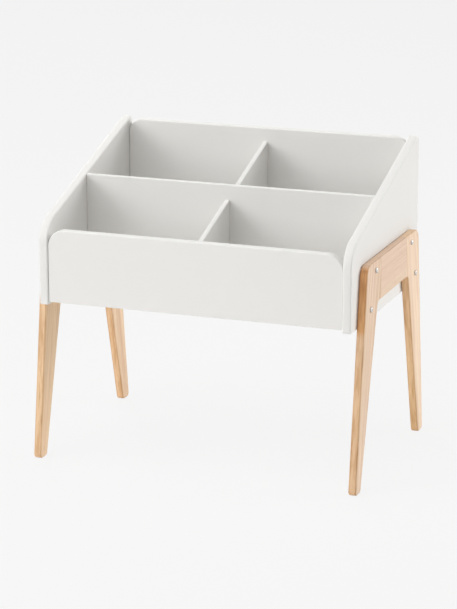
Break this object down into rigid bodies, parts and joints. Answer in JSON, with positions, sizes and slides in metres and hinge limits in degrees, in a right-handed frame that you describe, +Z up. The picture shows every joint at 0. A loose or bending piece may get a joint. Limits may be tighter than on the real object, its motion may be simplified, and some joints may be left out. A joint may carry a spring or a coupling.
{
  "type": "children's book bin",
  "caption": "Low book bin for children: white tray with slanted sides and open compartments for picture books, on two splayed light-wood leg frames bolted to its sides.",
  "frame": {"origin": "on the floor, under the middle of the object's box", "axes": "+X from the left leg frame to the right one, +Y from front to back, +Z up"},
  "size_m": [0.6108, 0.4112, 0.5545],
  "materials": {
    "white_lacquer": "white satin lacquer on fibreboard, softly eased edges",
    "light_wood": "pale wood with a matt clear coat, fine grain along each piece",
    "dowel_wood": "bare wood",
    "steel": "bright zinc-plated steel",
    "zinc": "cast zinc, dull grey"
  },
  "bodies": {
    "root": {"left_side_panel": "white_lacquer", "right_side_panel": "white_lacquer", "front_panel": "white_lacquer", "back_panel": "white_lacquer", "bottom_panel": "white_lacquer", "cross_divider": "white_lacquer", "long_divider": "white_lacquer", "front_left_leg": "light_wood", "front_right_leg": "light_wood", "rear_left_leg": "light_wood", "rear_right_leg": "light_wood", "left_rail": "light_wood", "right_rail": "light_wood", "leg_bolt_front_left_upper": "steel", "leg_bolt_front_left_lower": "steel", "leg_bolt_front_right_upper": "steel", "leg_bolt_front_right_lower": "steel", "leg_bolt_rear_left_upper": "steel", "leg_bolt_rear_left_lower": "steel", "leg_bolt_rear_right_upper": "steel", "leg_bolt_rear_right_lower": "steel", "insert_nut_front_left_upper": "zinc", "insert_nut_front_left_lower": "zinc", "insert_nut_front_right_upper": "zinc", "insert_nut_front_right_lower": "zinc", "insert_nut_rear_left_upper": "zinc", "insert_nut_rear_left_lower": "zinc", "insert_nut_rear_right_upper": "zinc", "insert_nut_rear_right_lower": "zinc", "rail_dowel_front_left_upper": "dowel_wood", "rail_dowel_front_left_lower": "dowel_wood", "rail_dowel_front_right_upper": "dowel_wood", "rail_dowel_front_right_lower": "dowel_wood", "rail_dowel_rear_left_upper": "dowel_wood", "rail_dowel_rear_left_lower": "dowel_wood", "rail_dowel_rear_right_upper": "dowel_wood", "rail_dowel_rear_right_lower": "dowel_wood", "cam_front_left_1": "zinc", "cam_bolt_front_left_1": "steel", "panel_dowel_front_left_1": "dowel_wood", "cam_front_right_1": "zinc", "cam_bolt_front_right_1": "steel", "panel_dowel_front_right_1": "dowel_wood", "cam_back_left_1": "zinc", "cam_bolt_back_left_1": "steel", "cam_back_left_2": "zinc", "cam_bolt_back_left_2": "steel", "panel_dowel_back_left_1": "dowel_wood", "cam_back_right_1": "zinc", "cam_bolt_back_right_1": "steel", "cam_back_right_2": "zinc", "cam_bolt_back_right_2": "steel", "panel_dowel_back_right_1": "dowel_wood", "cam_bottom_left_1": "zinc", "cam_bolt_bottom_left_1": "steel", "panel_dowel_bottom_left_1": "dowel_wood", "cam_bottom_right_1": "zinc", "cam_bolt_bottom_right_1": "steel", "panel_dowel_bottom_right_1": "dowel_wood"}
  },
  "joints": []
}
